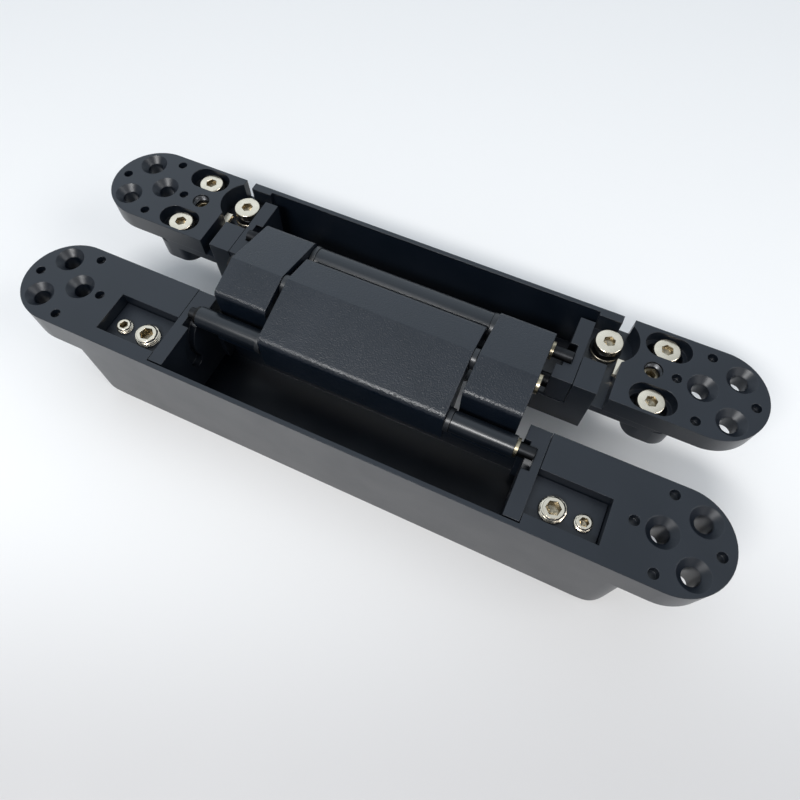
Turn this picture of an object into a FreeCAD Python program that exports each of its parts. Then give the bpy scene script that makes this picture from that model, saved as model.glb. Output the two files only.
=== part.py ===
import FreeCAD, Part
import math
import os

from FreeCAD import Vector

# Concealed hinge for a door leaf and a frame, shown fully open with both faces in one plane.
# X runs along the hinge, Y from the leaf side to the frame side, Z up out of the faces.
# The origin lies under the middle of the gap, on the level of the leaf housing's underside.
# All lengths are in millimetres and all angles in degrees.

# Face plates of both sides
plate_length = 240.0
plate_width = 32.0
plate_end_length = 57.5
face_gap = 18.0
closed_gap = 4.0

# Leaf housing
leaf_depth = 40.0
leaf_flange = 12.0
leaf_body_overhang = 22.0
leaf_body_corner = 10.0
leaf_body_end_round = 6.0
leaf_floor = 5.0
rim = 1.6
lip_play = 0.7

# Pocket and slides on both sides
bar_thickness = 7.0
relief_depth = 2.0
relief_y = 5.4
slide_play = 0.2
bar_end_play = 0.5
leaf_bar_floor_play = 2.0
frame_bar_floor_play = 1.0
heel_play = 0.6

# Side recess with the foot of each leaf slide
recess_length = 22.0
recess_front = 36.0
recess_rear = 21.5
foot_drop = 4.5
foot_thickness = 10.0
foot_floor_play = 0.5
side_travel = 3.0
side_screw_radius = 4.0
side_screw_reach = 7.5
side_screw_drop = 3.2
lock_screw_radius = 2.6
lock_screw_reach = 16.8
lock_screw_drop = 3.6
foot_screw_y = 30.2

# Linkage, measured from the middle of the gap and from the face plane
pivot_y = 13.5
pivot_drop = 10.0
guide_y = 18.2
guide_rise = 0.2
cross_rise = 8.0
shaft_radius = 2.5
guide_pin_radius = 2.0
cross_pin_radius = 2.5
running_clearance = 0.05
seat_clearance = 0.02
groove_clearance = 0.3
groove_depth = 2.5
groove_pin_gap = 0.3

# Arms
ridge_rise = 12.0
roof_slope = 15.5
nose_y = 21.5
nose_drop = 7.5
nose_round = 2.5
leg_y = 12.6
leg_round = 2.0
belly_rise = 2.5
belly_half = 6.4
hollow_y = 12.5
hollow_drop = 5.0
belly_round = 2.5
pivot_boss_radius = 4.5
leg_inset = 0.2
arm_end_gap = 3.2
arm_gap = 1.9
side_arm_width = 18.6
washer_play = 0.1
left_tube_gap = 1.4
right_tube_gap = 3.9
thin_washer_radius = 3.5
leaf_tube_radius = 3.5
leaf_tube_washer_radius = 3.9
frame_tube_radius = 4.8
frame_tube_washer_radius = 5.0
brass_washer_radius = 3.1
brass_washer = 1.0
pin_end = 0.3

# Frame housing
frame_depth = 23.5
frame_floor = 1.5
end_block_length = 7.8
frame_lip = 1.2
frame_lip_end_reach = 2.8
frame_lip_end_drop = 12.6
end_block_y = 20.4
seat_drop = 7.4
wall_end = 3.0
frame_bar_end_y = 34.5
depth_travel = 1.0

# Lugs under the end plates
lug_end_reach = 1.0
lug_inset = 0.2
lug_thickness = 3.0
lug_corner = 8.0
lug_boss_inner_reach = 5.0
lug_boss_outer_reach = 10.5
lug_boss_drop = 18.5
lug_boss_bevel = 1.5

# End plates
end_plate_thickness = 7.5
end_plate_play = 0.7
lug_clearance = 0.1
slot_reach = 12.5
slot_edge = 5.8
slot_end_play = 0.1
slot_side_play = 0.3
slot_ledge = 3.0
clamp_head_radius = 4.4
clamp_head_height = 3.0
clamp_shank_radius = 3.0
height_travel = 3.0
set_screw_reach = 10.0
set_screw_radius = 3.0
set_screw_drop = 3.0
notch_play = 1.0

# Spool-shaped depth screws
spool_reach = 6.1
spool_y = 6.0
spool_top_drop = 2.0
spool_head_radius = 4.65
spool_head_height = 2.4
spool_neck_radius = 3.2
spool_neck_height = 1.8
spool_rim_radius = 5.2
spool_stem_radius = 3.5
spool_stem_length = 8.0
spool_seat_play = 0.05

# Flat height keys, seated in the inner ends of the end plates at the level of the spool's neck
key_length = 6.2
key_width = 2.3
key_reach = 0.8
key_y = 0.6
key_neck_play = 0.15

# Hex sockets
hex_depth = 2.0
side_hex = 4.0
lock_hex = 2.5
clamp_hex = 4.0
set_hex = 3.0
spool_hex = 4.0

# Screw holes of the face plates
hole_radius = 2.75
sink_radius = 4.85
tip_hole_inset = 10.0
tip_hole_y = 8.0
inner_hole_inset = 20.5
pilot_radius = 1.6
pilot_depth = 2.5
pilot_tip_inset = 4.0
pilot_inner_inset = 28.6
pilot_side_inset = 20.0
pilot_side_y = 12.2

# Levels and places worked out from the sizes above
face_z = leaf_depth
half_gap = face_gap / 2
half_length = plate_length / 2
half_width = plate_width / 2
plate_mid_y = half_gap + half_width
outer_y = half_gap + plate_width
wall_inner_y = outer_y - rim
pocket_half_length = half_length - plate_end_length
leaf_body_half = half_length - leaf_body_overhang
bar_outer_x = pocket_half_length - slide_play
bar_inner_x = bar_outer_x - bar_thickness
guide_face_x = bar_inner_x + relief_depth
side_arm_outer = bar_inner_x - arm_end_gap
side_arm_inner = side_arm_outer - side_arm_width
centre_arm_half = side_arm_inner - arm_gap
side_screw_x = pocket_half_length + side_screw_reach
lock_screw_x = pocket_half_length + lock_screw_reach
spool_x = pocket_half_length + spool_reach
frame_body_half = pocket_half_length + end_block_length
frame_lip_end_x = bar_inner_x - frame_lip_end_reach
pivot_z = face_z - pivot_drop
guide_z = face_z + guide_rise
cross_z = face_z + cross_rise
lug_top_z = face_z - end_plate_thickness - lug_clearance
boss_bottom_drop = pivot_drop + pivot_boss_radius
leaf_lip_drop = boss_bottom_drop + side_travel + lip_play
leaf_bar_depth = leaf_depth - leaf_floor - side_travel - leaf_bar_floor_play
leaf_bar_heel_drop = leaf_lip_drop - side_travel - heel_play
frame_bar_depth = frame_depth - frame_floor - frame_bar_floor_play
frame_bar_heel_drop = frame_lip_end_drop - heel_play
recess_depth = foot_drop + foot_thickness + side_travel + foot_floor_play
leg_inner_y = pivot_y - pivot_boss_radius + leg_inset
end_plate_x = frame_body_half + height_travel + end_plate_play
slot_x = end_plate_x + slot_reach
slot_y = half_width - slot_edge
set_screw_x = end_plate_x + set_screw_reach
lug_half_width = half_width - lug_inset
lug_boss_radius = slot_edge - lug_inset
lug_boss_inner_x = slot_x - lug_boss_inner_reach
lug_boss_outer_x = slot_x + lug_boss_outer_reach
lug_end_x = lug_boss_outer_x + lug_end_reach
tip_hole_x = half_length - tip_hole_inset
inner_hole_x = half_length - inner_hole_inset
pilot_tip_x = half_length - pilot_tip_inset
pilot_inner_x = half_length - pilot_inner_inset
pilot_side_x = half_length - pilot_side_inset
slot_length = 2 * (clamp_head_radius + height_travel + slot_end_play)
slot_width = 2 * (clamp_head_radius + slot_side_play)
slot_neck_width = 2 * (clamp_shank_radius + slot_side_play)
notch_radius = spool_rim_radius + height_travel + notch_play
key_near_x = end_plate_x - key_reach
key_far_x = key_near_x + key_width
key_top_z = face_z - spool_top_drop - spool_head_height - key_neck_play
key_low_z = key_top_z - spool_neck_height + 2 * key_neck_play


# Basic forms

def box(x0, x1, y0, y1, z0, z1):
    return Part.makeBox(x1 - x0, y1 - y0, z1 - z0, Vector(x0, y0, z0))


def rod_x(radius, x0, x1, y, z):
    return Part.makeCylinder(radius, x1 - x0, Vector(x0, y, z), Vector(1, 0, 0))


def rod_z(radius, x, y, z0, z1):
    return Part.makeCylinder(radius, z1 - z0, Vector(x, y, z0), Vector(0, 0, 1))


def ring_x(outer, inner, x0, x1, y, z):
    return rod_x(outer, x0, x1, y, z).cut(rod_x(inner, x0, x1, y, z))


def outline(corners):
    """Closed wire through corners given as (point, radius), with tangent arcs at rounded corners."""
    edges = []
    last = None
    first = None
    count = len(corners)
    for i in range(count):
        point, radius = corners[i]
        to_last = (corners[i - 1][0] - point).normalize()
        to_next = (corners[(i + 1) % count][0] - point).normalize()
        if radius > 0:
            half = to_last.getAngle(to_next) / 2
            reach = radius / math.tan(half)
            start = point + to_last * reach
            end = point + to_next * reach
            middle = (to_last + to_next).normalize()
            top = point + middle * (radius / math.sin(half) - radius)
        else:
            start = point
            end = point
        if last is None:
            first = start
        else:
            edges.append(Part.LineSegment(last, start).toShape())
        if radius > 0:
            edges.append(Part.Arc(start, top, end).toShape())
        last = end
    edges.append(Part.LineSegment(last, first).toShape())
    return Part.Wire(edges)


def side_profile(corners, x0, x1):
    """Solid from corners (y, height above the face, radius), pushed along X."""
    wire = outline([(Vector(x0, y, face_z + rise), radius) for y, rise, radius in corners])
    return Part.Face(wire).extrude(Vector(x1 - x0, 0, 0))


def stadium(x0, x1, y, half, z0, z1):
    """Flat bar with full-round ends, from tip to tip along X."""
    middle = box(x0 + half, x1 - half, y - half, y + half, z0, z1)
    return middle.fuse([rod_z(half, x0 + half, y, z0, z1), rod_z(half, x1 - half, y, z0, z1)])


def hex_socket(across_flats, x, y, top_z):
    corner = across_flats / math.sqrt(3)
    points = []
    for i in range(7):
        turn = math.radians(60 * i)
        points.append(Vector(x + corner * math.cos(turn), y + corner * math.sin(turn), top_z - hex_depth))
    return Part.Face(Part.makePolygon(points)).extrude(Vector(0, 0, hex_depth))


def countersunk_hole(x, y, bottom_z):
    sink_depth = sink_radius - hole_radius
    sink = Part.makeCone(hole_radius, sink_radius, sink_depth, Vector(x, y, face_z - sink_depth))
    return rod_z(hole_radius, x, y, bottom_z, face_z).fuse(sink)


def plate_holes(side, mid_y, bottom_z):
    """Screw holes and pilot dimples of one end of a face plate; side is -1 on the left and 1 on the right."""
    holes = [countersunk_hole(side * inner_hole_x, mid_y, bottom_z)]
    for across in (-1, 1):
        holes.append(countersunk_hole(side * tip_hole_x, mid_y + across * tip_hole_y, bottom_z))
        holes.append(pilot(side * pilot_side_x, mid_y + across * pilot_side_y))
    holes.append(pilot(side * pilot_tip_x, mid_y))
    holes.append(pilot(side * pilot_inner_x, mid_y))
    return holes


def pilot(x, y):
    return rod_z(pilot_radius, x, y, face_z - pilot_depth, face_z)


def mirror_x(shape):
    return shape.mirror(Vector(0, 0, 0), Vector(1, 0, 0))


def mirror_y(shape):
    return shape.mirror(Vector(0, 0, 0), Vector(0, 1, 0))


# Motion of the linkage, in the leaf side's frame

def closing_turns():
    """Turn of the side arms about their pivot, and of the centre arm about the cross pin, on closing."""
    arm_reach = math.hypot(pivot_y, pivot_drop + cross_rise)
    open_angle = math.atan2(pivot_drop + cross_rise, pivot_y)
    closed_angle = math.pi - math.asin((pivot_drop + closed_gap / 2) / arm_reach)
    side_turn = closed_angle - open_angle
    return side_turn, math.pi - 2 * side_turn


def guide_point(share):
    """Place of the leaf guide pin after a share of the closing motion, as (y, z)."""
    side_turn, cross_turn = closing_turns()
    arm_reach = math.hypot(pivot_y, pivot_drop + cross_rise)
    arm_angle = math.atan2(pivot_drop + cross_rise, pivot_y) + share * side_turn
    nose_reach = math.hypot(guide_y, cross_rise - guide_rise)
    nose_angle = math.atan2(cross_rise - guide_rise, guide_y) + share * (side_turn + cross_turn)
    y = -pivot_y + arm_reach * math.cos(arm_angle) - nose_reach * math.cos(nose_angle)
    z = pivot_z + arm_reach * math.sin(arm_angle) - nose_reach * math.sin(nose_angle)
    return y, z


def guide_groove():
    """Curved groove in the inner face of the right leaf bar, open at the top, that the guide pin runs in."""
    half = guide_pin_radius + groove_clearance
    inner = []
    outer = []
    for share in (0.0, 0.5, 1.0):
        y0, z0 = guide_point(share - 0.01)
        y1, z1 = guide_point(share + 0.01)
        y, z = guide_point(share)
        along = Vector(0, y1 - y0, z1 - z0).normalize()
        across = Vector(0, -along.z, along.y) * half
        inner.append(Vector(guide_face_x, y, z) - across)
        outer.append(Vector(guide_face_x, y, z) + across)
    edges = [
        Part.Arc(inner[0], inner[1], inner[2]).toShape(),
        Part.LineSegment(inner[2], outer[2]).toShape(),
        Part.Arc(outer[2], outer[1], outer[0]).toShape(),
        Part.LineSegment(outer[0], inner[0]).toShape(),
    ]
    groove = Part.Face(Part.Wire(edges)).extrude(Vector(groove_depth, 0, 0))
    for share in (0.0, 1.0):
        y, z = guide_point(share)
        groove = groove.fuse(rod_x(half, guide_face_x, guide_face_x + groove_depth, y, z))
    return groove.removeSplitter()


# Leaf side

def leaf_housing():
    """Cast housing: stadium flange over a deep body, with the pocket open to the gap."""
    flange = stadium(-half_length, half_length, -plate_mid_y, half_width, face_z - leaf_flange, face_z)
    body_half = leaf_body_half
    body_corners = [
        (Vector(-body_half, -outer_y, leaf_depth - leaf_flange), 0),
        (Vector(-body_half, -outer_y, 0), leaf_body_corner),
        (Vector(body_half, -outer_y, 0), leaf_body_corner),
        (Vector(body_half, -outer_y, leaf_depth - leaf_flange), 0),
    ]
    body = Part.Face(outline(body_corners)).extrude(Vector(0, plate_width, 0))
    plan_corners = [
        (Vector(-body_half, -outer_y, 0), leaf_body_end_round),
        (Vector(body_half, -outer_y, 0), leaf_body_end_round),
        (Vector(body_half, -half_gap, 0), leaf_body_end_round),
        (Vector(-body_half, -half_gap, 0), leaf_body_end_round),
    ]
    body = body.common(Part.Face(outline(plan_corners)).extrude(Vector(0, 0, leaf_depth)))
    pocket = box(-pocket_half_length, pocket_half_length, -wall_inner_y, -half_gap - rim, leaf_floor, face_z)
    mouth = box(-pocket_half_length, pocket_half_length, -half_gap - rim, -half_gap,
                face_z - leaf_lip_drop, face_z)
    cuts = [pocket, mouth]
    for side in (-1, 1):
        near_x = side * pocket_half_length
        far_x = side * (pocket_half_length + recess_length)
        cuts.append(box(min(near_x, far_x), max(near_x, far_x), -recess_front, -recess_rear,
                        face_z - recess_depth, face_z))
        cuts.extend(plate_holes(side, -plate_mid_y, 0))
    return flange.fuse(body).removeSplitter().cut(cuts)


def leaf_slide_right():
    """L-shaped slide: an upright bar with the guide groove, and a foot that holds the adjusting screws."""
    front_y = -wall_inner_y + bar_end_play
    rear_y = -half_gap - slide_play
    heel_y = rear_y - rim
    bar = side_profile([
        (front_y, 0, 0),
        (front_y, -leaf_bar_depth, 0),
        (heel_y, -leaf_bar_depth, 0),
        (heel_y, -leaf_bar_heel_drop, 0),
        (rear_y, -leaf_bar_heel_drop, 0),
        (rear_y, 0, 0),
    ], bar_inner_x, bar_outer_x)
    foot = box(bar_outer_x, pocket_half_length + recess_length - slide_play,
               -recess_front + slide_play, -recess_rear - slide_play,
               face_z - foot_drop - foot_thickness, face_z - foot_drop)
    slide = bar.fuse(foot).removeSplitter()
    relief = box(bar_inner_x, guide_face_x, front_y, -half_gap - relief_y, 0, face_z)
    shaft_hole = rod_x(shaft_radius + seat_clearance, bar_inner_x, bar_outer_x, -pivot_y, pivot_z)
    side_hole = rod_z(side_screw_radius + running_clearance, side_screw_x, -foot_screw_y, 0, face_z)
    lock_hole = rod_z(lock_screw_radius + seat_clearance, lock_screw_x, -foot_screw_y, 0, face_z)
    return slide.cut([relief, guide_groove(), shaft_hole, side_hole, lock_hole])


def socket_screw(radius, x, y, z0, z1, hex_size):
    return rod_z(radius, x, y, z0, z1).cut(hex_socket(hex_size, x, y, z1))


def side_adjust_screws():
    """Large socket screws that stand on the recess floor and carry the slides."""
    floor_z = face_z - recess_depth
    top_z = face_z - side_screw_drop
    return [socket_screw(side_screw_radius, side * side_screw_x, -foot_screw_y, floor_z, top_z, side_hex)
            for side in (-1, 1)]


def slide_lock_screws():
    """Small socket screws threaded through the feet of the slides."""
    low_z = face_z - foot_drop - foot_thickness
    top_z = face_z - lock_screw_drop
    return [socket_screw(lock_screw_radius, side * lock_screw_x, -foot_screw_y, low_z, top_z, lock_hex)
            for side in (-1, 1)]


def leaf_pivot_shaft():
    return [rod_x(shaft_radius, -bar_outer_x, bar_outer_x, -pivot_y, pivot_z)]


# Pins, tubes and washers that both sides share, given for the leaf side

def guide_pin():
    reach = guide_face_x + groove_depth - groove_pin_gap
    return rod_x(guide_pin_radius, -reach, reach, -guide_y, guide_z)


def guide_ring(radius, x0, x1):
    return ring_x(radius, guide_pin_radius + running_clearance, x0, x1, -guide_y, guide_z)


def guide_washer_pair(radius, inner_x, outer_x):
    """One washer on each side of the middle, between two distances from it."""
    ring = guide_ring(radius, inner_x, outer_x)
    return [ring, mirror_x(ring)]


def leaf_brass_washers():
    """One washer past the outer end of each leaf tube."""
    left_x = left_tube_end_x + washer_play
    right_x = right_tube_end_x + washer_play
    left = mirror_x(guide_ring(brass_washer_radius, left_x, left_x + brass_washer))
    return [left, guide_ring(brass_washer_radius, right_x, right_x + brass_washer)]


# Arms

def arm(x0, x1):
    """Arm with its nose on the leaf guide pin and its leg on the frame pivot shaft."""
    slope = math.tan(math.radians(roof_slope))
    body = side_profile([
        (0, ridge_rise, 0),
        (-nose_y, ridge_rise - nose_y * slope, nose_round),
        (-nose_y, -nose_drop, 0),
        (-hollow_y, -hollow_drop, belly_round),
        (-belly_half, belly_rise, belly_round),
        (belly_half, belly_rise, belly_round),
        (leg_inner_y, -pivot_drop, 0),
        (leg_y, -pivot_drop, 0),
        (leg_y, ridge_rise - leg_y * slope, leg_round),
    ], x0, x1)
    boss = rod_x(pivot_boss_radius, x0, x1, pivot_y, pivot_z)
    bores = [
        rod_x(shaft_radius + running_clearance, x0, x1, pivot_y, pivot_z),
        rod_x(guide_pin_radius + seat_clearance, x0, x1, -guide_y, guide_z),
        rod_x(cross_pin_radius + seat_clearance, x0, x1, 0, cross_z),
    ]
    return body.fuse(boss).removeSplitter().cut(bores)


def centre_arm():
    bore = rod_x(cross_pin_radius + running_clearance, -centre_arm_half, centre_arm_half, 0, cross_z)
    return arm(-centre_arm_half, centre_arm_half).cut(bore)


def side_arm_right():
    return mirror_y(arm(side_arm_inner, side_arm_outer))


def arm_pivot_pin():
    reach = side_arm_outer + brass_washer + pin_end
    return rod_x(cross_pin_radius, -reach, reach, 0, cross_z)


def arm_washers(radius, inner_x, outer_x):
    ring = ring_x(radius, cross_pin_radius + running_clearance, inner_x, outer_x, 0, cross_z)
    return [ring, mirror_x(ring)]


# Frame side

def frame_housing():
    """Channel with a thin rear wall, end blocks, spool seats and screw lugs."""
    bottom_z = face_z - frame_depth
    block = box(-frame_body_half, frame_body_half, half_gap, outer_y, bottom_z, face_z)
    pocket = box(-pocket_half_length, pocket_half_length, half_gap + frame_lip, wall_inner_y,
                 bottom_z + frame_floor, face_z)
    mouth = box(-frame_lip_end_x, frame_lip_end_x, half_gap, half_gap + frame_lip,
                bottom_z + frame_floor, face_z)
    bar_mouth = box(-pocket_half_length, pocket_half_length, half_gap, half_gap + frame_lip,
                    face_z - frame_lip_end_drop, face_z)
    cuts = [pocket, mouth, bar_mouth]
    lugs = []
    for side in (-1, 1):
        near_x = side * pocket_half_length
        far_x = side * frame_body_half
        cuts.append(box(min(near_x, far_x), max(near_x, far_x), end_block_y, outer_y - wall_end,
                        face_z - seat_drop, face_z))
        lugs.append(frame_lug(side))
        for across in (-1, 1):
            cuts.append(rod_z(clamp_shank_radius + seat_clearance, side * slot_x,
                              plate_mid_y + across * slot_y, bottom_z, face_z))
        stem_low_z = face_z - seat_drop - spool_stem_length
        cuts.append(rod_z(spool_stem_radius + seat_clearance, side * spool_x, plate_mid_y + spool_y,
                          stem_low_z, face_z))
    return block.fuse(lugs).removeSplitter().cut(cuts)


def frame_lug(side):
    """Flat lug that one end plate slides on, with a long boss under each clamp screw."""
    root_x = side * frame_body_half
    tip_x = side * lug_end_x
    low_z = lug_top_z - lug_thickness
    corners = [
        (Vector(root_x, plate_mid_y - lug_half_width, low_z), 0),
        (Vector(tip_x, plate_mid_y - lug_half_width, low_z), lug_corner),
        (Vector(tip_x, plate_mid_y + lug_half_width, low_z), lug_corner),
        (Vector(root_x, plate_mid_y + lug_half_width, low_z), 0),
    ]
    lug = Part.Face(outline(corners)).extrude(Vector(0, 0, lug_thickness))
    bosses = []
    for across in (-1, 1):
        boss = stadium(min(side * lug_boss_inner_x, side * lug_boss_outer_x),
                       max(side * lug_boss_inner_x, side * lug_boss_outer_x),
                       plate_mid_y + across * slot_y, lug_boss_radius,
                       face_z - lug_boss_drop, low_z + lug_thickness / 2).removeSplitter()
        rim_edges = [edge for edge in boss.Edges if edge.BoundBox.ZMax < face_z - lug_boss_drop + 0.001]
        bosses.append(boss.makeChamfer(lug_boss_bevel, rim_edges))
    return lug.fuse(bosses)


def frame_slide_right():
    """Slide bar with the mirrored guide groove and a relief along its inner face."""
    front_y = half_gap + slide_play
    heel_y = half_gap + frame_lip + slide_play + depth_travel
    bar = side_profile([
        (front_y, 0, 0),
        (frame_bar_end_y, 0, 0),
        (frame_bar_end_y, -frame_bar_depth, 0),
        (heel_y, -frame_bar_depth, 0),
        (heel_y, -frame_bar_heel_drop, 0),
        (front_y, -frame_bar_heel_drop, 0),
    ], bar_inner_x, bar_outer_x)
    relief = box(bar_inner_x, guide_face_x, half_gap + relief_y, frame_bar_end_y, 0, face_z)
    shaft_hole = rod_x(shaft_radius + seat_clearance, bar_inner_x, bar_outer_x, pivot_y, pivot_z)
    return bar.cut([relief, mirror_y(guide_groove()), shaft_hole])


def depth_adjust_screws():
    """Spool-shaped screws: a socketed disc, a neck, a wider rim and a threaded stem."""
    screws = []
    for side in (-1, 1):
        x = side * spool_x
        y = plate_mid_y + spool_y
        top_z = face_z - spool_top_drop
        neck_z = top_z - spool_head_height
        rim_z = neck_z - spool_neck_height
        seat_z = face_z - seat_drop + spool_seat_play
        head = rod_z(spool_head_radius, x, y, neck_z, top_z).cut(hex_socket(spool_hex, x, y, top_z))
        neck = rod_z(spool_neck_radius, x, y, rim_z, neck_z)
        collar = rod_z(spool_rim_radius, x, y, seat_z, rim_z)
        stem = rod_z(spool_stem_radius, x, y, face_z - seat_drop - spool_stem_length, seat_z)
        screws.append(head.fuse([neck, collar, stem]).removeSplitter())
    return screws


def height_key(side, play):
    """Flat bar along Y at one end plate's inner end; play widens it into its seat."""
    near_x = side * (key_near_x - play)
    far_x = side * (key_far_x + play)
    mid_y = plate_mid_y - key_y
    reach = key_length / 2 + play
    return box(min(near_x, far_x), max(near_x, far_x), mid_y - reach, mid_y + reach,
               key_low_z - play, key_top_z + play)


def end_plate(side):
    """End plate with one stadium end, two stepped slots, a set screw hole and a notch round the spool."""
    low_z = face_z - end_plate_thickness
    inner_x = side * end_plate_x
    tip_x = side * half_length
    plate = stadium(-half_length, half_length, plate_mid_y, half_width, low_z, face_z)
    plate = plate.common(box(min(inner_x, tip_x), max(inner_x, tip_x), half_gap, outer_y, low_z, face_z))
    cuts = plate_holes(side, plate_mid_y, low_z)
    neck_length = slot_length - slot_width + slot_neck_width
    for across in (-1, 1):
        y = plate_mid_y + across * slot_y
        x = side * slot_x
        cuts.append(stadium(x - slot_length / 2, x + slot_length / 2, y, slot_width / 2,
                            low_z + slot_ledge, face_z))
        cuts.append(stadium(x - neck_length / 2, x + neck_length / 2, y, slot_neck_width / 2,
                            low_z, low_z + slot_ledge))
    cuts.append(rod_z(set_screw_radius + seat_clearance, side * set_screw_x, plate_mid_y, low_z, face_z))
    cuts.append(rod_z(notch_radius, side * spool_x, plate_mid_y + spool_y, low_z, face_z))
    cuts.append(height_key(side, seat_clearance))
    return plate.cut(cuts)


def plate_clamp_screws():
    """Socket-head screws in the slots, threaded into the lug bosses."""
    screws = []
    ledge_z = face_z - end_plate_thickness + slot_ledge + running_clearance
    top_z = ledge_z + clamp_head_height
    for side in (-1, 1):
        for across in (-1, 1):
            x = side * slot_x
            y = plate_mid_y + across * slot_y
            head = rod_z(clamp_head_radius, x, y, ledge_z, top_z)
            shank = rod_z(clamp_shank_radius, x, y, face_z - lug_boss_drop, ledge_z)
            screws.append(head.fuse(shank).removeSplitter().cut(hex_socket(clamp_hex, x, y, top_z)))
    return screws


def height_set_screws():
    low_z = face_z - end_plate_thickness
    top_z = face_z - set_screw_drop
    return [socket_screw(set_screw_radius, side * set_screw_x, plate_mid_y, low_z, top_z, set_hex)
            for side in (-1, 1)]


# Nodes

tube_inner_x = side_arm_inner - washer_play
washer_outer_x = tube_inner_x - washer_play
washer_inner_x = centre_arm_half + washer_play
left_tube_end_x = guide_face_x - left_tube_gap
right_tube_end_x = guide_face_x - right_tube_gap
arm_brass_x = side_arm_outer + washer_play
frame_tube_end_x = centre_arm_half

leaf_slide = leaf_slide_right()
frame_slide = frame_slide_right()
side_arm = side_arm_right()

nodes = {
    "leaf_housing": [leaf_housing()],
    "leaf_slide_left": [mirror_x(leaf_slide)],
    "leaf_slide_right": [leaf_slide],
    "side_adjust_screws": side_adjust_screws(),
    "slide_lock_screws": slide_lock_screws(),
    "leaf_pivot_shaft": leaf_pivot_shaft(),
    "leaf_guide_pin": [guide_pin()],
    "leaf_tube_left": [mirror_x(guide_ring(leaf_tube_radius, tube_inner_x, left_tube_end_x))],
    "leaf_tube_right": [guide_ring(leaf_tube_radius, tube_inner_x, right_tube_end_x)],
    "leaf_tube_washers": guide_washer_pair(leaf_tube_washer_radius, washer_inner_x, washer_outer_x),
    "leaf_brass_washers": leaf_brass_washers(),
    "centre_arm": [centre_arm()],
    "side_arm_left": [mirror_x(side_arm)],
    "side_arm_right": [side_arm],
    "arm_pivot_pin": [arm_pivot_pin()],
    "arm_washers": arm_washers(thin_washer_radius, washer_inner_x, washer_outer_x),
    "arm_brass_washers": arm_washers(brass_washer_radius, arm_brass_x, arm_brass_x + brass_washer),
    "frame_guide_pin": [mirror_y(guide_pin())],
    "frame_tube": [mirror_y(guide_ring(frame_tube_radius, -frame_tube_end_x, frame_tube_end_x))],
    "frame_tube_washers": [mirror_y(ring) for ring in
                           guide_washer_pair(frame_tube_washer_radius, washer_inner_x, washer_outer_x)],
    "frame_brass_washers": [mirror_y(ring) for ring in
                            guide_washer_pair(brass_washer_radius, arm_brass_x, arm_brass_x + brass_washer)],
    "frame_pivot_shaft": [mirror_y(shaft) for shaft in leaf_pivot_shaft()],
    "frame_slide_left": [mirror_x(frame_slide)],
    "frame_slide_right": [frame_slide],
    "frame_housing": [frame_housing()],
    "depth_adjust_screws": depth_adjust_screws(),
    "height_keys": [height_key(-1, 0), height_key(1, 0)],
    "end_plate_left": [end_plate(-1)],
    "end_plate_right": [end_plate(1)],
    "plate_clamp_screws": plate_clamp_screws(),
    "height_set_screws": height_set_screws(),
}

os.makedirs("parts", exist_ok=True)
for name, solids in nodes.items():
    shape = solids[0] if len(solids) == 1 else Part.makeCompound(solids)
    shape.exportStep("parts/" + name + ".step")
    print(name, len(solids), round(shape.Volume, 1), shape.isValid())
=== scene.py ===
import math
import bpy
from mathutils import Matrix, Vector


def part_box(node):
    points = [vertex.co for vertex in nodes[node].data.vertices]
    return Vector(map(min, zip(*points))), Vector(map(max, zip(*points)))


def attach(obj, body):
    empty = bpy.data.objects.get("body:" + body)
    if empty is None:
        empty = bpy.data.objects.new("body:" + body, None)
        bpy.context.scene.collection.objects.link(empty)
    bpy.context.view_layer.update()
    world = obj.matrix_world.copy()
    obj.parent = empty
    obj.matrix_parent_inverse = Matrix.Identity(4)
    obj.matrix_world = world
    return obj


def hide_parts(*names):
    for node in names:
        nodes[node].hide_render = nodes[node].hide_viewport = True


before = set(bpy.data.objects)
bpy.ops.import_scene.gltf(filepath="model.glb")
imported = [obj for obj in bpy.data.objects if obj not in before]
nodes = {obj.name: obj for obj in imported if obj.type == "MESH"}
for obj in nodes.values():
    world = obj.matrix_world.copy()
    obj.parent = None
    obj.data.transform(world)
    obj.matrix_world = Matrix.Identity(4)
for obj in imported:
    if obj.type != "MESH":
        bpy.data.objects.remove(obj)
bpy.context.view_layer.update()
mm = 0.001
faceLevel = round(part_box("leaf_housing")[1][2] / mm, 3)  # height of both faces, in millimetres
print("frame loaded with", len(nodes), "nodes")


# materials
noiseSpan = (0.3, 0.7)  # most of a noise lies in this span
rampSpan = (0.35, 0.65)  # share of a noise over which two tints mix
edgeSpan = (0.98, 0.8)  # match of rounded and flat normals, from no edge to full edge
bevelSamples = 4
coneLean = 0.707  # upward share of a countersink's normal
coneSlack = 0.1


def newMaterial(name):
    material = bpy.data.materials.new(name)
    material.use_nodes = True
    tree = material.node_tree
    return material, tree, tree.nodes["Principled BSDF"]


def addNode(tree, kind, **values):
    node = tree.nodes.new(kind)
    for key, value in values.items():
        if key in node.inputs:
            node.inputs[key].default_value = value
        else:
            setattr(node, key, value)
    return node


def addNoise(tree, scale, detail, stretch=(1, 1, 1)):
    # object coordinates in metres, so the grain keeps its real size
    place = addNode(tree, "ShaderNodeTexCoord")
    mapping = addNode(tree, "ShaderNodeMapping")
    mapping.inputs["Scale"].default_value = stretch
    noise = addNode(tree, "ShaderNodeTexNoise", Scale=scale, Detail=detail)
    tree.links.new(place.outputs["Object"], mapping.inputs["Vector"])
    tree.links.new(mapping.outputs["Vector"], noise.inputs["Vector"])
    return noise


def addRamp(tree, output, low, high, span):
    ramp = addNode(tree, "ShaderNodeValToRGB")
    for element, colour, position in zip(ramp.color_ramp.elements, (low, high), span):
        element.position = position
        element.color = (*colour, 1)
    tree.links.new(output, ramp.inputs["Fac"])
    return ramp


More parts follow.
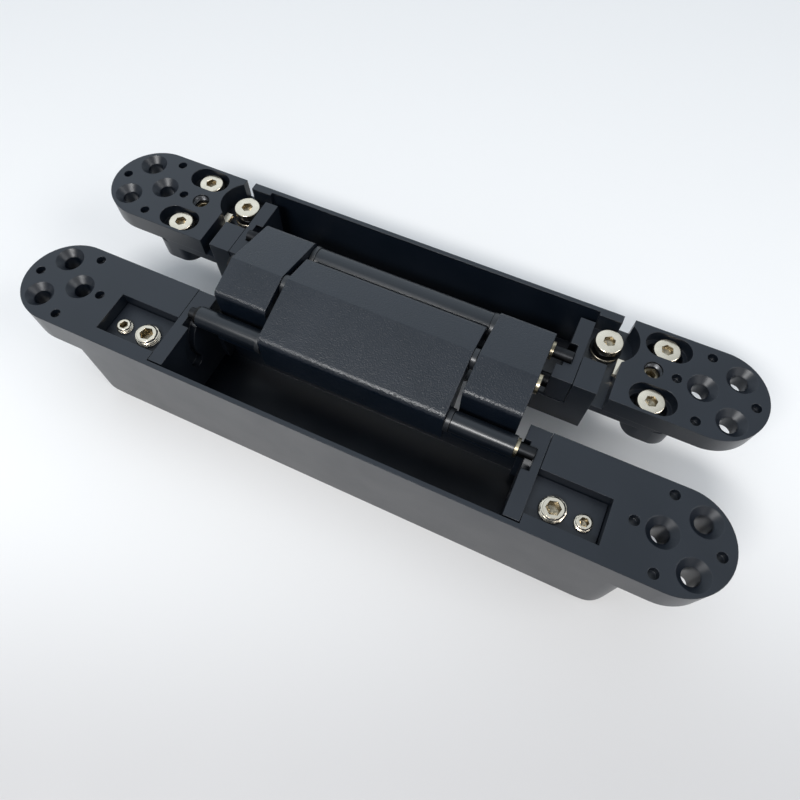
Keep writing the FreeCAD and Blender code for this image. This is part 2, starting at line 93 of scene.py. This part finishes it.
def addRange(tree, source, low, high):
    rangeNode = addNode(tree, "ShaderNodeMapRange")
    rangeNode.inputs["From Min"].default_value = noiseSpan[0]
    rangeNode.inputs["From Max"].default_value = noiseSpan[1]
    rangeNode.inputs["To Min"].default_value = low
    rangeNode.inputs["To Max"].default_value = high
    tree.links.new(source.outputs["Fac"], rangeNode.inputs["Value"])
    return rangeNode


def addBump(tree, source, shader, strength, depth):
    bump = addNode(tree, "ShaderNodeBump", Strength=strength, Distance=depth)
    tree.links.new(source.outputs["Fac"], bump.inputs["Height"])
    tree.links.new(bump.outputs["Normal"], shader.inputs["Normal"])
    return bump


def addEdges(tree, radius, cloud):
    # a rounded normal, and a mask that is 1 along an edge and 0 on the flat, broken up by the cloud
    rounded = addNode(tree, "ShaderNodeBevel", samples=bevelSamples, Radius=radius)
    flat = addNode(tree, "ShaderNodeNewGeometry")
    match = addNode(tree, "ShaderNodeVectorMath", operation="DOT_PRODUCT")
    tree.links.new(rounded.outputs["Normal"], match.inputs[0])
    tree.links.new(flat.outputs["Normal"], match.inputs[1])
    edge = addNode(tree, "ShaderNodeMapRange")
    edge.inputs["From Min"].default_value = edgeSpan[0]
    edge.inputs["From Max"].default_value = edgeSpan[1]
    tree.links.new(match.outputs["Value"], edge.inputs["Value"])
    broken = addNode(tree, "ShaderNodeMath", operation="MULTIPLY")
    tree.links.new(edge.outputs["Result"], broken.inputs[0])
    tree.links.new(cloud.outputs["Fac"], broken.inputs[1])
    return rounded, broken


def addConeRings(tree, shader, bump, gloss, values):
    # cutter rings on the countersinks, picked out by the lean of their faces
    place = addNode(tree, "ShaderNodeTexCoord")
    lean = addNode(tree, "ShaderNodeSeparateXYZ")
    tree.links.new(place.outputs["Normal"], lean.inputs["Vector"])
    cone = addNode(tree, "ShaderNodeMath", operation="COMPARE")
    cone.inputs[1].default_value = coneLean
    cone.inputs[2].default_value = coneSlack
    tree.links.new(lean.outputs["Z"], cone.inputs[0])
    level = addNode(tree, "ShaderNodeSeparateXYZ")
    tree.links.new(place.outputs["Object"], level.inputs["Vector"])
    turns = addNode(tree, "ShaderNodeMath", operation="MULTIPLY")
    turns.inputs[1].default_value = 2 * math.pi / values["ringPitch"]
    tree.links.new(level.outputs["Z"], turns.inputs[0])
    wave = addNode(tree, "ShaderNodeMath", operation="SINE")
    tree.links.new(turns.outputs["Value"], wave.inputs[0])
    cut = addNode(tree, "ShaderNodeMath", operation="MULTIPLY")
    tree.links.new(wave.outputs["Value"], cut.inputs[0])
    tree.links.new(cone.outputs["Value"], cut.inputs[1])
    ringBump = addNode(tree, "ShaderNodeBump", Strength=values["ringBump"], Distance=values["ringDepth"])
    tree.links.new(cut.outputs["Value"], ringBump.inputs["Height"])
    tree.links.new(bump.outputs["Normal"], ringBump.inputs["Normal"])
    tree.links.new(ringBump.outputs["Normal"], shader.inputs["Normal"])
    rougher = addNode(tree, "ShaderNodeMath", operation="MULTIPLY_ADD")
    rougher.inputs[1].default_value = values["ringRough"]
    tree.links.new(cone.outputs["Value"], rougher.inputs[0])
    tree.links.new(gloss.outputs["Result"], rougher.inputs[2])
    tree.links.new(rougher.outputs["Value"], shader.inputs["Roughness"])


def coatMaterial(name, values):
    material, tree, shader = newMaterial(name)
    cloud = addNoise(tree, values["cloudScale"], detail=4)
    grain = addNoise(tree, values["grainScale"], detail=2)
    tint = addRamp(tree, cloud.outputs["Fac"], values["dark"], values["light"], rampSpan)
    rounded, edge = addEdges(tree, values["edgeReach"], cloud)
    # edges are painted a lighter tint: worn edges, and also a painted highlight along them
    wornAndLitEdge = addNode(tree, "ShaderNodeMix", data_type="RGBA")
    wornAndLitEdge.inputs["B"].default_value = (*values["edge"], 1)
    tree.links.new(edge.outputs["Value"], wornAndLitEdge.inputs["Factor"])
    tree.links.new(tint.outputs["Color"], wornAndLitEdge.inputs["A"])
    tree.links.new(wornAndLitEdge.outputs["Result"], shader.inputs["Base Color"])
    gloss = addRange(tree, cloud, values["roughLow"], values["roughHigh"])
    tree.links.new(gloss.outputs["Result"], shader.inputs["Roughness"])
    bump = addBump(tree, grain, shader, values["bump"], values["bumpDepth"])
    tree.links.new(rounded.outputs["Normal"], bump.inputs["Normal"])
    if "ringPitch" in values:
        addConeRings(tree, shader, bump, gloss, values)
    shader.inputs["IOR"].default_value = values["ior"]
    return material


def addDarkLeftEnd(tree, shader, tint, colour):
    # the rings at the left end, below zero on x, are given a darker colour
    place = addNode(tree, "ShaderNodeTexCoord")
    side = addNode(tree, "ShaderNodeSeparateXYZ")
    tree.links.new(place.outputs["Object"], side.inputs["Vector"])
    left = addNode(tree, "ShaderNodeMath", operation="LESS_THAN")
    left.inputs[1].default_value = 0
    tree.links.new(side.outputs["X"], left.inputs[0])
    mixed = addNode(tree, "ShaderNodeMix", data_type="RGBA")
    mixed.inputs["B"].default_value = (*colour, 1)
    tree.links.new(left.outputs["Value"], mixed.inputs["Factor"])
    tree.links.new(tint.outputs["Color"], mixed.inputs["A"])
    tree.links.new(mixed.outputs["Result"], shader.inputs["Base Color"])


def metalMaterial(name, values):
    material, tree, shader = newMaterial(name)
    cloud = addNoise(tree, values["cloudScale"], detail=5)
    streak = addNoise(tree, values["streakScale"], detail=3, stretch=values["stretch"])
    tint = addRamp(tree, cloud.outputs["Fac"], values["dark"], values["light"], rampSpan)
    tree.links.new(tint.outputs["Color"], shader.inputs["Base Color"])
    gloss = addRange(tree, streak, values["roughLow"], values["roughHigh"])
    tree.links.new(gloss.outputs["Result"], shader.inputs["Roughness"])
    addBump(tree, streak, shader, values["bump"], values["bumpDepth"])
    shader.inputs["Metallic"].default_value = 1.0
    if "leftEndTint" in values:
        addDarkLeftEnd(tree, shader, tint, values["leftEndTint"])
    return material


# lengths in materials are in metres
# each edge tint lightens the broken edges: wear, and also a painted highlight
housingCoat = coatMaterial("housing_coat", {
    "dark": (0.0032, 0.006, 0.011), "light": (0.0046, 0.0078, 0.0138), "cloudScale": 60, "grainScale": 2600,
    "edge": (0.03, 0.034, 0.04), "edgeReach": 0.00035, "ior": 1.6,
    "ringPitch": 0.0003, "ringBump": 0.4, "ringDepth": 0.000016, "ringRough": 0.04,
    "roughLow": 0.3, "roughHigh": 0.36, "bump": 0.1, "bumpDepth": 0.00005})
armCoat = coatMaterial("arm_coat", {
    "dark": (0.0024, 0.0056, 0.0112), "light": (0.0042, 0.0078, 0.0145), "cloudScale": 80, "grainScale": 2200,
    "edge": (0.026, 0.03, 0.036), "edgeReach": 0.0004, "ior": 1.6,
    "roughLow": 0.27, "roughHigh": 0.34, "bump": 0.9, "bumpDepth": 0.00016})
slideCoat = coatMaterial("slide_coat", {
    "dark": (0.0024, 0.0052, 0.0105), "light": (0.0036, 0.007, 0.0135), "cloudScale": 70, "grainScale": 2200,
    "edge": (0.026, 0.03, 0.036), "edgeReach": 0.0004, "ior": 1.6,
    "roughLow": 0.42, "roughHigh": 0.5, "bump": 0.12, "bumpDepth": 0.00005})
sleeveCoat = coatMaterial("sleeve_coat", {
    "dark": (0.004, 0.0062, 0.0098), "light": (0.0055, 0.008, 0.0118), "cloudScale": 90, "grainScale": 1800,
    "edge": (0.03, 0.03, 0.03), "edgeReach": 0.0003, "ior": 1.6,
    "roughLow": 0.27, "roughHigh": 0.32, "bump": 0.03, "bumpDepth": 0.00003})
washerCoat = coatMaterial("washer_coat", {
    "dark": (0.009, 0.011, 0.014), "light": (0.014, 0.016, 0.019), "cloudScale": 120, "grainScale": 1800,
    "edge": (0.06, 0.06, 0.06), "edgeReach": 0.0003, "ior": 1.6,
    "roughLow": 0.3, "roughHigh": 0.38, "bump": 0.06, "bumpDepth": 0.00003})
nickel = metalMaterial("nickel", {
    "dark": (0.83, 0.74, 0.59), "light": (0.93, 0.83, 0.67), "cloudScale": 300, "streakScale": 700,
    "stretch": (1, 1, 1), "roughLow": 0.2, "roughHigh": 0.27, "bump": 0.015, "bumpDepth": 0.00001})
dullNickel = metalMaterial("dull_nickel", {
    "dark": (0.46, 0.39, 0.27), "light": (0.58, 0.5, 0.37), "cloudScale": 260, "streakScale": 800,
    "stretch": (1, 1, 1), "roughLow": 0.28, "roughHigh": 0.38, "bump": 0.03, "bumpDepth": 0.00001})
# a darker metal for inside the sockets, painted shade in the recess
socketShadeMetal = metalMaterial("socket_shade_metal", {
    "dark": (0.26, 0.22, 0.15), "light": (0.5, 0.44, 0.33), "cloudScale": 900, "streakScale": 1500,
    "stretch": (1, 1, 1), "roughLow": 0.22, "roughHigh": 0.36, "bump": 0.25, "bumpDepth": 0.00005})
cutMetal = metalMaterial("cut_metal", {
    "dark": (0.06, 0.062, 0.066), "light": (0.11, 0.112, 0.116), "cloudScale": 300, "streakScale": 900,
    "stretch": (1, 1, 1), "roughLow": 0.3, "roughHigh": 0.4, "bump": 0.02, "bumpDepth": 0.00001})
steel = metalMaterial("pin_steel", {
    "dark": (0.02, 0.021, 0.023), "light": (0.036, 0.037, 0.039), "cloudScale": 200, "streakScale": 1400,
    "stretch": (0.15, 1, 1), "roughLow": 0.4, "roughHigh": 0.5, "bump": 0.04, "bumpDepth": 0.00002})
brass = metalMaterial("brass", {
    "dark": (0.09, 0.078, 0.055), "light": (0.62, 0.54, 0.38), "cloudScale": 420, "streakScale": 1200,
    "stretch": (1, 1, 1), "roughLow": 0.25, "roughHigh": 0.36, "bump": 0.03, "bumpDepth": 0.00001,
    "leftEndTint": (0.03, 0.029, 0.028)})

nodeFinish = {
    housingCoat: ["leaf_housing", "frame_housing", "end_plate_left", "end_plate_right"],
    armCoat: ["centre_arm", "side_arm_left", "side_arm_right"],
    slideCoat: ["leaf_slide_left", "leaf_slide_right", "frame_slide_left", "frame_slide_right"],
    sleeveCoat: ["leaf_tube_left", "leaf_tube_right", "frame_tube"],
    washerCoat: ["leaf_tube_washers", "arm_washers", "frame_tube_washers"],
    brass: ["leaf_brass_washers", "arm_brass_washers", "frame_brass_washers"],
    nickel: ["side_adjust_screws", "slide_lock_screws", "plate_clamp_screws", "depth_adjust_screws",
             "height_keys"],
    dullNickel: ["height_set_screws"],
    steel: ["leaf_pivot_shaft", "leaf_guide_pin", "arm_pivot_pin", "frame_guide_pin", "frame_pivot_shaft"],
}
for material, names in nodeFinish.items():
    for name in names:
        nodes[name].data.materials.clear()
        nodes[name].data.materials.append(material)
print("materials done")


# broken edges of housings, arms and slides, widths in millimetres and least angles in degrees
edgeSegments = 2
edgeRound = {"leaf_housing": (0.35, 50), "frame_housing": (0.3, 40), "end_plate_left": (0.35, 50),
             "end_plate_right": (0.35, 50), "centre_arm": (0.35, 25), "side_arm_left": (0.35, 25),
             "side_arm_right": (0.35, 25), "leaf_slide_left": (0.25, 40), "leaf_slide_right": (0.25, 40),
             "frame_slide_left": (0.25, 40), "frame_slide_right": (0.25, 40)}
for name, (width, leastAngle) in edgeRound.items():
    bevel = nodes[name].modifiers.new("edgeRound", "BEVEL")
    bevel.width = width * mm
    bevel.segments = edgeSegments
    bevel.limit_method = "ANGLE"
    bevel.angle_limit = math.radians(leastAngle)
    bevel.harden_normals = True
    bevel.use_clamp_overlap = True
print("edges rounded")


# screws, sizes in millimetres and turns in radians
ringCount = 72
sharpAngle = 35  # degrees
rimSteps = (30, 60, 90)  # degrees round the rim of a head
threadShape = {"rowsPerPitch": 10, "leastRows": 4, "crestShare": 0.12, "flankShare": 0.76, "rootSlack": 0.1}
socketShape = {"rimWidth": 0.16, "rimDepth": 0.1, "drillShare": 0.42, "drillStep": 0.05, "tipRadius": 0.15,
               "tipDepth": 0.6, "rows": 3}
rootShare = 0.5  # the thread is painted dark below this share of its depth, as painted shade in its roots


def circleRing(radius, level):
    step = 2 * math.pi / ringCount
    return [(radius * math.cos(step * i), radius * math.sin(step * i), level) for i in range(ringCount)]


def hexRing(acrossFlats, level, turn):
    # the same count of points as a circle, laid along a hexagon with its corners on points
    ring = []
    step = 2 * math.pi / ringCount
    turn = round(turn / step) * step
    for i in range(ringCount):
        angle = 2 * math.pi * i / ringCount
        part = (angle - turn) % (math.pi / 3) - math.pi / 6
        reach = acrossFlats / 2 / math.cos(part)
        ring.append((reach * math.cos(angle), reach * math.sin(angle), level))
    return ring


def threadRings(radius, depth, pitch, low, high, lead=0):
    # a cut thread: the crest climbs one pitch in each turn, and fades out or tapers over its lead
    rows = max(threadShape["leastRows"], int((high - low) / pitch * threadShape["rowsPerPitch"]))
    crest, flank = threadShape["crestShare"], threadShape["flankShare"]
    leastReach = radius - depth - threadShape["rootSlack"]
    rings = []
    for row in range(rows + 1):
        level = low + (high - low) * row / rows
        fade = min(1, (level - low) / pitch, 1 if lead else (high - level) / pitch)
        taper = max(0, level - high + lead)
        ring = []
        for i in range(ringCount):
            angle = 2 * math.pi * i / ringCount
            phase = (level / pitch - i / ringCount) % 1
            cut = min(1, max(0, (abs(phase - 0.5) * 2 - crest) / flank))
            reach = max(radius - depth * cut * fade - taper, leastReach)
            ring.append((reach * math.cos(angle), reach * math.sin(angle), level))
        rings.append(ring)
    return rings


def rimRings(radius, top, edge):
    # the rounded rim of a head
    rings = [circleRing(radius, top - edge)]
    for step in rimSteps:
        angle = math.radians(step)
        rings.append(circleRing(radius - edge * (1 - math.cos(angle)), top - edge * (1 - math.sin(angle))))
    return rings


def socketRings(values, top):
    # broken rim, hex walls and drilled cone of a socket
    hexSize, turn = values["hex"], values["turn"]
    floor = top - values["socketDepth"]
    return [hexRing(hexSize + socketShape["rimWidth"], top, turn),
            hexRing(hexSize, top - socketShape["rimDepth"], turn),
            hexRing(hexSize, floor, turn),
            circleRing(hexSize * socketShape["drillShare"], floor - socketShape["drillStep"]),
            circleRing(socketShape["tipRadius"], floor - socketShape["tipDepth"])]


def ringMesh(name, rings, place, closed=False):
    mesh = bpy.data.meshes.new(name)
    points = [Vector(point) * mm + Vector(place) * mm for ring in rings for point in ring]
    faces = []
    rows = len(rings) if closed else len(rings) - 1
    for row in range(rows):
        base, above = row * ringCount, (row + 1) % len(rings) * ringCount
        for i in range(ringCount):
            j = (i + 1) % ringCount
            faces.append((base + i, base + j, above + j, above + i))
    if not closed:
        top = rows * ringCount
        faces.append(tuple(reversed(range(ringCount))))
        faces.append(tuple(range(top, top + ringCount)))
    mesh.from_pydata(points, [], faces)
    mesh.update()
    mesh.shade_smooth()
    mesh.set_sharp_from_angle(angle=math.radians(sharpAngle))
    obj = bpy.data.objects.new(name, mesh)
    bpy.context.collection.objects.link(obj)
    return obj


setShape = {"pointTaper": 1.0, "pointHeight": 0.8, "threadStart": 0.9, "landStep": 0.1, "shoulder": 0.05,
            "landBreak": 0.08}
sideScrew = {"radius": 3.9, "low": faceLevel - 18.0, "top": faceLevel - 2.3, "land": 3.1, "edge": 0.15,
             "pitch": 0.75, "lead": 0.3, "threadDepth": 0.6, "shadedRoots": True,
             "hex": 4.0, "turn": 0.3, "socketDepth": 3.6, "x": 70.0, "y": -30.2}
lockScrew = {"radius": 2.6, "low": faceLevel - 14.5, "top": faceLevel - 3.0, "land": 2.0, "edge": 0.15,
             "pitch": 0.55, "lead": 0.3, "threadDepth": 0.42, "shadedRoots": True,
             "hex": 2.5, "turn": 0.1, "socketDepth": 2.6, "x": 79.3, "y": -30.2}
heightScrew = {"radius": 3.0, "low": faceLevel - 7.5, "top": faceLevel - 3.0, "land": 2.4, "edge": 0.2,
               "pitch": 0.75, "lead": 0.3, "threadDepth": 0.4, "shadedRoots": False,
               "hex": 3.0, "turn": 0.45, "socketDepth": 2.8, "x": 84.0, "y": 25.0}


def setScrew(name, x, y, values):
    # a threaded stem with a broken edge and a flat land round the socket
    low, top, radius = values["low"], values["top"], values["radius"]
    land, edge, depth = values["land"], values["edge"], values["threadDepth"]
    step = land + setShape["landStep"]
    rings = [circleRing(radius - setShape["pointTaper"], low),
             circleRing(radius - depth, low + setShape["pointHeight"])]
    rings += threadRings(radius, depth, values["pitch"], low + setShape["threadStart"], top - edge,
                         values["lead"])
    rings += [circleRing(step, top - edge + setShape["shoulder"]),
              circleRing(step, top - setShape["landBreak"]), circleRing(land, top)]
    return ringMesh(name, rings + socketRings(values, top), (x, y, 0))


clampScrew = {"headRadius": 4.4, "shankRadius": 3.0, "low": faceLevel - 18.5, "ledge": faceLevel - 4.45,
              "top": faceLevel - 1.45, "edge": 0.5, "ledgeBreak": 0.15, "pointTaper": 0.8, "pointHeight": 0.6,
              "threadStart": 0.7, "plainShank": 1.2, "pitch": 1.0, "threadDepth": 0.5,
              "hex": 3.5, "turn": 0.2, "turnSide": 0.37, "turnAcross": 0.21, "socketDepth": 2.0,
              "x": 86.5, "y": 25.0, "apart": 10.2}


def headScrew(name, x, y, values):
    low, ledge, top = values["low"], values["ledge"], values["top"]
    head, shank, depth = values["headRadius"], values["shankRadius"], values["threadDepth"]
    rings = [circleRing(shank - values["pointTaper"], low),
             circleRing(shank - depth, low + values["pointHeight"])]
    rings += threadRings(shank, depth, values["pitch"], low + values["threadStart"],
                         ledge - values["plainShank"])
    rings += [circleRing(shank, ledge), circleRing(head - values["ledgeBreak"], ledge),
              circleRing(head, ledge + values["ledgeBreak"])]
    rings += rimRings(head, top, values["edge"])
    return ringMesh(name, rings + socketRings(values, top), (x, y, 0))


spoolScrew = {"x": 68.6, "y": 31.0, "top": faceLevel - 2.0, "seat": faceLevel - 7.35, "low": faceLevel - 15.4,
              "headRadius": 4.65, "headHeight": 2.4, "neckRadius": 3.2, "neckHeight": 1.8, "rimRadius": 5.2,
              "stemRadius": 3.5, "stemBreak": 0.6, "seatBreak": 0.15, "rimBreak": 0.25, "neckFillet": 0.2,
              "edge": 0.4, "hex": 3.5, "turn": 0.5, "socketDepth": 2.0,
              "shadedRows": (6, 7, 8, 9, 10)}  # rim top, neck and underside of the head, painted dark as shade under the head


def spoolPiece(name, x, y, values):
    top, seat, low = values["top"], values["seat"], values["low"]
    head, neck = values["headRadius"], values["neckRadius"]
    rim, stem = values["rimRadius"], values["stemRadius"]
    stemBreak, seatBreak = values["stemBreak"], values["seatBreak"]
    rimBreak, fillet = values["rimBreak"], values["neckFillet"]
    neckTop = top - values["headHeight"]
    rimTop = neckTop - values["neckHeight"]
    rings = [circleRing(stem - stemBreak, low), circleRing(stem, low + stemBreak), circleRing(stem, seat),
             circleRing(rim - seatBreak, seat), circleRing(rim, seat + seatBreak),
             circleRing(rim, rimTop - rimBreak), circleRing(rim - rimBreak, rimTop),
             circleRing(neck + fillet, rimTop), circleRing(neck, rimTop + fillet),
             circleRing(neck, neckTop - fillet), circleRing(neck + fillet, neckTop),
             circleRing(head - fillet, neckTop), circleRing(head, neckTop + fillet)]
    rings += rimRings(head, top, values["edge"])
    return ringMesh(name, rings + socketRings(values, top), (x, y, 0))


threadSleeve = {"radius": 3.0, "depth": 0.4, "pitch": 0.75, "inset": 0.06, "low": faceLevel - 2.9,
                "top": faceLevel - 0.3, "x": 84.0, "y": 25.0}


def threadPiece(name, x, y, values):
    # the cut thread that shows above a sunk set screw
    low, top, radius = values["low"], values["top"], values["radius"]
    inner = threadRings(radius - values["inset"], values["depth"], values["pitch"], low, top)
    outer = [circleRing(radius, low), circleRing(radius, top)]
    return ringMesh(name, outer + inner[::-1], (x, y, 0), closed=True)


def finishPiece(piece, material, body, node):
    piece.data.materials.append(material)
    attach(piece, body)
    if node:
        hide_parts(node)


def paintRows(piece, material, rows):
    piece.data.materials.append(material)
    index = len(piece.data.materials) - 1
    for row in rows:
        for i in range(ringCount):
            piece.data.polygons[row * ringCount + i].material_index = index


def paintSocket(piece, material):
    # the walls, floor and drilled cone of the socket are the last rows; they get a darker metal as painted
    # shade in the socket
    rowCount = (len(piece.data.polygons) - 2) // ringCount
    paintRows(piece, material, range(rowCount - socketShape["rows"], rowCount))
    piece.data.polygons[-1].material_index = len(piece.data.materials) - 1


# painted shade: faces deep in the thread roots get the dark pin steel, in place of shade in the grooves
def paintRootShade(piece, material, x, y, values):
    piece.data.materials.append(material)
    index = len(piece.data.materials) - 1
    reach = (values["radius"] - rootShare * values["threadDepth"]) * mm
    ceiling = (values["top"] - values["edge"]) * mm
    for polygon in piece.data.polygons:
        out = math.hypot(polygon.center.x - x * mm, polygon.center.y - y * mm)
        if out < reach and polygon.center.z < ceiling and polygon.material_index == 0:
            polygon.material_index = index


setScrews = [
    ("sideScrew", sideScrew, nickel, "leaf", "side_adjust_screws"),
    ("lockScrew", lockScrew, nickel, "leaf_slides", "slide_lock_screws"),
    ("heightScrew", heightScrew, dullNickel, "end_plates", "height_set_screws"),
]


def makeScrews():
    for side, sideName in ((-1, "Left"), (1, "Right")):
        for name, values, metal, body, node in setScrews:
            x, y = side * values["x"], values["y"]
            piece = setScrew(name + sideName, x, y, values)
            finishPiece(piece, metal, body, node)
            paintSocket(piece, socketShadeMetal)
            # painted shade in the thread roots
            if values["shadedRoots"]:
                paintRootShade(piece, steel, x, y, values)
        piece = spoolPiece("spoolScrew" + sideName, side * spoolScrew["x"], spoolScrew["y"], spoolScrew)
        finishPiece(piece, nickel, "frame_channel", "depth_adjust_screws")
        # painted shade: rim top, neck and underside of the head get the dark pin steel
        paintRows(piece, steel, spoolScrew["shadedRows"])
        paintSocket(piece, socketShadeMetal)
        x, y = side * threadSleeve["x"], threadSleeve["y"]
        piece = threadPiece("threadSleeve" + sideName, x, y, threadSleeve)
        finishPiece(piece, cutMetal, "end_plates", None)
        for across, acrossName in ((-1, "Front"), (1, "Rear")):
            y = clampScrew["y"] + across * clampScrew["apart"]
            turn = clampScrew["turn"] + clampScrew["turnSide"] * side + clampScrew["turnAcross"] * across
            values = dict(clampScrew, turn=turn)
            piece = headScrew("clampScrew" + acrossName + sideName, side * clampScrew["x"], y, values)
            finishPiece(piece, nickel, "frame_channel", "plate_clamp_screws")
            paintSocket(piece, socketShadeMetal)


makeScrews()
print("screws done")


# floor, in metres
# the near tint is a painted shadow on the front of the sheet
floorValues = {"size": 6.0, "shadedNear": (0.6, 0.58, 0.57), "far": (0.91, 0.895, 0.88),
               "toward": (-0.41, 0.91, 0.0), "nearAt": -0.14, "farAt": -0.025, "cloudScale": 40,
               "roughLow": 0.55, "roughHigh": 0.65, "bump": 0.04, "bumpDepth": 0.0004}


def makeFloor(values):
    half = values["size"] / 2
    mesh = bpy.data.meshes.new("floor")
    corners = [(-half, -half, 0), (half, -half, 0), (half, half, 0), (-half, half, 0)]
    mesh.from_pydata(corners, [], [(0, 1, 2, 3)])
    floor = bpy.data.objects.new("floor", mesh)
    bpy.context.collection.objects.link(floor)
    material, tree, shader = newMaterial("floor_sheet")
    # a sheet that is a little greyer near than far, a painted shadow on its front
    place = addNode(tree, "ShaderNodeTexCoord")
    reach = addNode(tree, "ShaderNodeVectorMath", operation="DOT_PRODUCT")
    reach.inputs[1].default_value = values["toward"]
    tree.links.new(place.outputs["Object"], reach.inputs[0])
    share = addNode(tree, "ShaderNodeMapRange", interpolation_type="SMOOTHSTEP")
    share.inputs["From Min"].default_value = values["nearAt"]
    share.inputs["From Max"].default_value = values["farAt"]
    tree.links.new(reach.outputs["Value"], share.inputs["Value"])
    tint = addRamp(tree, share.outputs["Result"], values["shadedNear"], values["far"], (0, 1))
    tree.links.new(tint.outputs["Color"], shader.inputs["Base Color"])
    cloud = addNoise(tree, values["cloudScale"], detail=3)
    gloss = addRange(tree, cloud, values["roughLow"], values["roughHigh"])
    tree.links.new(gloss.outputs["Result"], shader.inputs["Roughness"])
    addBump(tree, cloud, shader, values["bump"], values["bumpDepth"])
    mesh.materials.append(material)


# lamps, in metres and watts
lampTarget = (0, 0, 0.02)
lightValues = [
    {"name": "frontStrip", "place": (-0.14, -0.74, 0.88), "size": (0.5, 0.14), "power": 7.8,
     "colour": (1, 1, 1)},
    {"name": "noseLamp", "place": (-0.32, -0.3, 1.05), "size": (0.35, 0.2), "power": 0.4,
     "colour": (1, 1, 1)},
    {"name": "rightPanel", "place": (1.0, -0.75, 0.85), "size": (0.9, 0.9), "power": 2.7,
     "colour": (1, 0.99, 0.98)},
    {"name": "sidePanel", "place": (0.95, 0.06, 0.8), "size": (0.6, 0.4), "power": 3.6,
     "colour": (0.98, 0.99, 1)},
]


def makeLights():
    for values in lightValues:
        data = bpy.data.lights.new(values["name"], "AREA")
        data.shape = "RECTANGLE"
        data.size, data.size_y = values["size"]
        data.energy = values["power"]
        data.color = values["colour"]
        lamp = bpy.data.objects.new(values["name"], data)
        lamp.location = values["place"]
        direction = Vector(lampTarget) - lamp.location
        lamp.rotation_euler = direction.to_track_quat("-Z", "Y").to_euler()
        bpy.context.collection.objects.link(lamp)


worldValues = {"low": (0.15, 0.165, 0.185), "high": (0.8, 0.9, 1.0), "span": (0.58, 1.0),
               "toward": (-0.5, 0.6, 0.624), "strength": 1.02}


def makeWorld(values):
    # a room that is lightest high up behind, on the left
    world = bpy.data.worlds.new("studio")
    world.use_nodes = True
    tree = world.node_tree
    background = tree.nodes["Background"]
    place = addNode(tree, "ShaderNodeTexCoord")
    height = addNode(tree, "ShaderNodeVectorMath", operation="DOT_PRODUCT")
    height.inputs[1].default_value = values["toward"]
    tree.links.new(place.outputs["Generated"], height.inputs[0])
    level = addNode(tree, "ShaderNodeMapRange")
    level.inputs["From Min"].default_value = -1
    tree.links.new(height.outputs["Value"], level.inputs["Value"])
    ramp = addRamp(tree, level.outputs["Result"], values["low"], values["high"], values["span"])
    tree.links.new(ramp.outputs["Color"], background.inputs["Color"])
    background.inputs["Strength"].default_value = values["strength"]
    bpy.context.scene.world = world


# camera, in millimetres and degrees
cameraValues = {"place": (52.422, -98.335, 211.872), "azimuth": 24.4263, "elevation": 62.9379,
                "roll": 0.5018, "lens": 28.35, "sensor": 36, "clipStart": 5}


def makeCamera(values):
    turn, rise, roll = [math.radians(values[key]) for key in ("azimuth", "elevation", "roll")]
    back = Vector((math.sin(turn) * math.cos(rise), -math.cos(turn) * math.cos(rise), math.sin(rise)))
    right = Vector((0, 0, 1)).cross(back).normalized()
    up = back.cross(right)
    across = math.cos(roll) * right + math.sin(roll) * up
    above = -math.sin(roll) * right + math.cos(roll) * up
    data = bpy.data.cameras.new("photoCamera")
    data.lens = values["lens"]
    data.sensor_width = values["sensor"]
    data.sensor_fit = "HORIZONTAL"
    data.clip_start = values["clipStart"] * mm
    camera = bpy.data.objects.new("photoCamera", data)
    turned = Matrix((across, above, back)).transposed().to_4x4()
    camera.matrix_world = Matrix.Translation(Vector(values["place"]) * mm) @ turned
    bpy.context.collection.objects.link(camera)
    bpy.context.scene.camera = camera


makeFloor(floorValues)
makeLights()
makeWorld(worldValues)
makeCamera(cameraValues)
bpy.context.scene.view_settings.view_transform = "Standard"
print("stage done")
